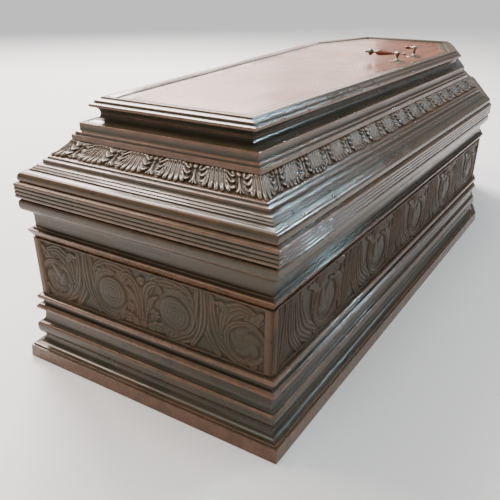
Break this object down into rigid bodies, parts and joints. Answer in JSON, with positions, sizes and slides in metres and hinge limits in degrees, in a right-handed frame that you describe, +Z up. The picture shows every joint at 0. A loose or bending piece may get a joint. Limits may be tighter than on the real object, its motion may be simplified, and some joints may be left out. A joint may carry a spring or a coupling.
{
  "type": "coffin",
  "caption": "Six-sided coffin of dark polished wood with stepped mouldings, carved side boards, a raised lid with a carved leaf band and two small turning levers on its panel.",
  "frame": {"origin": "on the floor under the middle of the coffin's overall box", "axes": "+Y along the length from the foot end to the head end, +Z up, +X to the right seen from the foot end"},
  "size_m": [0.9278, 2.053, 0.6739],
  "materials": {
    "polished_wood": "gloss varnish",
    "carved_wood": "satin varnish, darker in the hollows",
    "panel_wood": "high gloss varnish",
    "plain_wood": "sawn and lightly sealed",
    "bronze": "darkened, worn bright on the edges",
    "grip_wood": "gloss varnish"
  },
  "bodies": {
    "coffin": {"base_moulding_foot": "polished_wood", "carved_board_foot": "carved_wood", "cornice_moulding_foot": "polished_wood", "lid_rim_foot": "polished_wood", "leaf_band_foot": "carved_wood", "lid_upper_moulding_foot": "polished_wood", "lid_frame_foot": "polished_wood", "base_moulding_right_side": "polished_wood", "carved_board_right_side": "carved_wood", "cornice_moulding_right_side": "polished_wood", "lid_rim_right_side": "polished_wood", "leaf_band_right_side": "carved_wood", "lid_upper_moulding_right_side": "polished_wood", "lid_frame_right_side": "polished_wood", "base_moulding_right_shoulder": "polished_wood", "carved_board_right_shoulder": "carved_wood", "cornice_moulding_right_shoulder": "polished_wood", "lid_rim_right_shoulder": "polished_wood", "leaf_band_right_shoulder": "carved_wood", "lid_upper_moulding_right_shoulder": "polished_wood", "lid_frame_right_shoulder": "polished_wood", "base_moulding_head": "polished_wood", "carved_board_head": "carved_wood", "cornice_moulding_head": "polished_wood", "lid_rim_head": "polished_wood", "leaf_band_head": "carved_wood", "lid_upper_moulding_head": "polished_wood", "lid_frame_head": "polished_wood", "base_moulding_left_shoulder": "polished_wood", "carved_board_left_shoulder": "carved_wood", "cornice_moulding_left_shoulder": "polished_wood", "lid_rim_left_shoulder": "polished_wood", "leaf_band_left_shoulder": "carved_wood", "lid_upper_moulding_left_shoulder": "polished_wood", "lid_frame_left_shoulder": "polished_wood", "base_moulding_left_side": "polished_wood", "carved_board_left_side": "carved_wood", "cornice_moulding_left_side": "polished_wood", "lid_rim_left_side": "polished_wood", "leaf_band_left_side": "carved_wood", "lid_upper_moulding_left_side": "polished_wood", "lid_frame_left_side": "polished_wood", "bottom_board": "plain_wood", "lid_panel": "panel_wood", "long_lever_rose": "bronze", "short_lever_rose": "bronze"},
    "long_lever": {"long_lever_spindle_and_arm": "bronze", "long_lever_grip": "grip_wood", "long_lever_end_cap": "bronze"},
    "short_lever": {"short_lever_spindle_and_arm": "bronze", "short_lever_grip": "grip_wood"}
  },
  "joints": [
    {"name": "long_lever_turn", "type": "hinge", "parent": "coffin", "child": "long_lever", "pos_m": [0.17098, 0.139, 0.6359], "axis": [0, 0, 1], "range_deg": [0, 90]},
    {"name": "short_lever_turn", "type": "hinge", "parent": "coffin", "child": "short_lever", "pos_m": [0.1825, 0.303, 0.6359], "axis": [0, 0, 1], "range_deg": [0, 90]}
  ]
}
